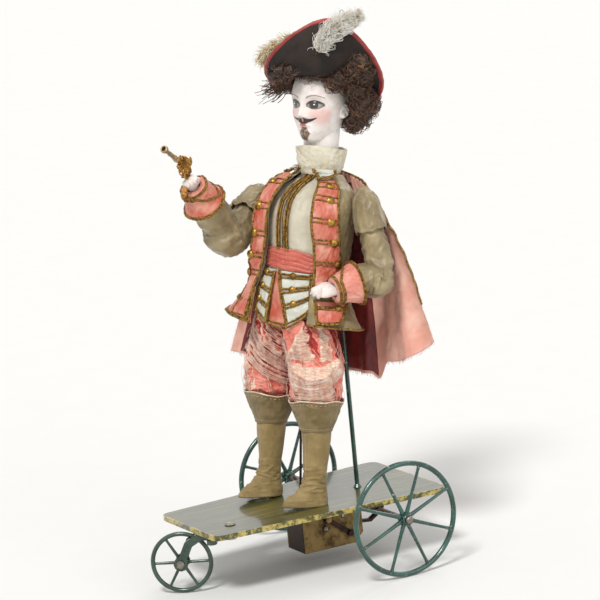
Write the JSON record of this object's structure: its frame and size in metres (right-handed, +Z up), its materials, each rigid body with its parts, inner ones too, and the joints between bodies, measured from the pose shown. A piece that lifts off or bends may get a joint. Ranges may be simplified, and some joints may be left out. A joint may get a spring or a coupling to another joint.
{
  "type": "automaton doll",
  "caption": "Clockwork doll of a standing cavalier with a pistol, on a flat board that rolls on two large spoked wheels and a small steering wheel.",
  "frame": {"origin": "on the floor under the middle of the whole toy's box", "axes": "+Z up, -Y the way the toy rolls and the figure faces, +X the figure's left"},
  "size_m": [0.1566, 0.1784, 0.3321],
  "materials": {
    "bisque": "matt painted bisque",
    "black_felt": "felt",
    "board_paint": "painted and varnished",
    "boot_cloth": "waxed cloth",
    "brass": "aged",
    "bright_steel": "satin",
    "coral_silk": "faded silk",
    "cream_satin": "satin",
    "dark_steel": "blackened",
    "gilt": "gilt cast metal",
    "hair": "mohair curls",
    "ostrich": "ostrich flue",
    "pink_silk": "cotton and silk",
    "taupe_satin": "satin",
    "wheel_green": "worn enamel"
  },
  "bodies": {
    "root": {"boot_left": "boot_cloth", "boot_cuff_left": "boot_cloth", "boot_right": "boot_cloth", "boot_cuff_right": "boot_cloth", "breeches_left": "coral_silk", "breeches_right": "coral_silk", "trunk": "cream_satin", "sash": "coral_silk", "jacket": "taupe_satin", "facing_left": "coral_silk", "peplum_left": "coral_silk", "facing_right": "coral_silk", "peplum_right": "coral_silk", "waistcoat_flap_left": "cream_satin", "waistcoat_flap_right": "cream_satin", "sleeve_left": "taupe_satin", "cuff_left": "coral_silk", "hand_left": "bisque", "cape": "pink_silk", "collar": "cream_satin", "axle_strap_left": "dark_steel", "axle_strap_right": "dark_steel", "board": "board_paint", "fork_pivot_bolt": "bright_steel", "motor_plate_left": "brass", "motor_plate_right": "brass", "motor_front_plate": "dark_steel", "rear_pillar": "brass", "click": "bright_steel", "stop_lever_screw": "brass", "rear_stay": "dark_steel", "support_rod": "wheel_green", "support_rod_nut": "bright_steel"},
    "rear_axle_body": {"rear_axle": "bright_steel", "rear_wheel_left": "wheel_green", "rear_wheel_right": "wheel_green", "axle_pinion": "brass"},
    "second_arbor_body": {"second_arbor": "bright_steel", "second_wheel": "brass", "lift_cam": "brass"},
    "great_wheel_body": {"great_wheel": "brass", "spring_barrel": "brass"},
    "winding_arbor_body": {"winding_arbor": "bright_steel", "ratchet_wheel": "bright_steel"},
    "fork_body": {"front_fork": "wheel_green", "front_axle": "brass"},
    "front_wheel_body": {"front_wheel": "wheel_green"},
    "arm_body": {"sleeve_right": "taupe_satin", "cuff_right": "coral_silk", "hand_right": "bisque", "pistol_stock": "gilt", "pistol_barrel": "bright_steel", "shoulder_pin": "dark_steel"},
    "push_rod_body": {"push_rod": "dark_steel"},
    "head_body": {"head": "bisque", "wig": "hair", "hat": "black_felt", "feather_front": "ostrich", "feather_back": "ostrich"},
    "stop_lever_body": {"stop_lever": "dark_steel"}
  },
  "joints": [
    {"name": "rear_axle_spin", "type": "hinge", "parent": "root", "child": "rear_axle_body", "pos_m": [0, 0.04027, 0.035], "axis": [1, 0, 0], "continuous": true},
    {"name": "second_arbor_spin", "type": "hinge", "parent": "root", "child": "second_arbor_body", "pos_m": [0, 0.03177, 0.02696], "axis": [1, 0, 0], "continuous": true},
    {"name": "great_wheel_spin", "type": "hinge", "parent": "root", "child": "great_wheel_body", "pos_m": [0, 0.01918, 0.02133], "axis": [1, 0, 0], "continuous": true},
    {"name": "winding_arbor_spin", "type": "hinge", "parent": "root", "child": "winding_arbor_body", "pos_m": [0, 0.01918, 0.02133], "axis": [1, 0, 0], "continuous": true},
    {"name": "fork_steer", "type": "hinge", "parent": "root", "child": "fork_body", "pos_m": [0.018, -0.04832, 0.034], "axis": [0, 0, 1], "range_deg": [-3, 50]},
    {"name": "front_wheel_spin", "type": "hinge", "parent": "fork_body", "child": "front_wheel_body", "pos_m": [0.00022, -0.07372, 0.0188], "axis": [0.8192, -0.5736, 0], "continuous": true},
    {"name": "arm_raise", "type": "hinge", "parent": "root", "child": "arm_body", "pos_m": [-0.0328, 0.01738, 0.22013], "axis": [-0.848, -0.513, 0.1327], "range_deg": [-28, 6]},
    {"name": "push_rod_slide", "type": "slide", "parent": "root", "child": "push_rod_body", "axis": [0, 0.1132, 0.9936], "range_m": [-0.0021, 0.0005]},
    {"name": "head_turn", "type": "hinge", "parent": "root", "child": "head_body", "pos_m": [-0.00418, 0.0468, 0.23421], "axis": [0, 0.1045, 0.9945], "range_deg": [-30, 30]},
    {"name": "stop_lever_swing", "type": "hinge", "parent": "root", "child": "stop_lever_body", "pos_m": [0.012, 0.02028, 0.027], "axis": [1, 0, 0], "range_deg": [-10, 22]}
  ],
  "couplings": [
    {"joint": "second_arbor_spin", "follows": "rear_axle_spin", "ratio": -0.3},
    {"joint": "great_wheel_spin", "follows": "rear_axle_spin", "ratio": 0.063158},
    {"joint": "push_rod_slide", "follows": "arm_raise", "m_per_rad": 0.0042}
  ]
}
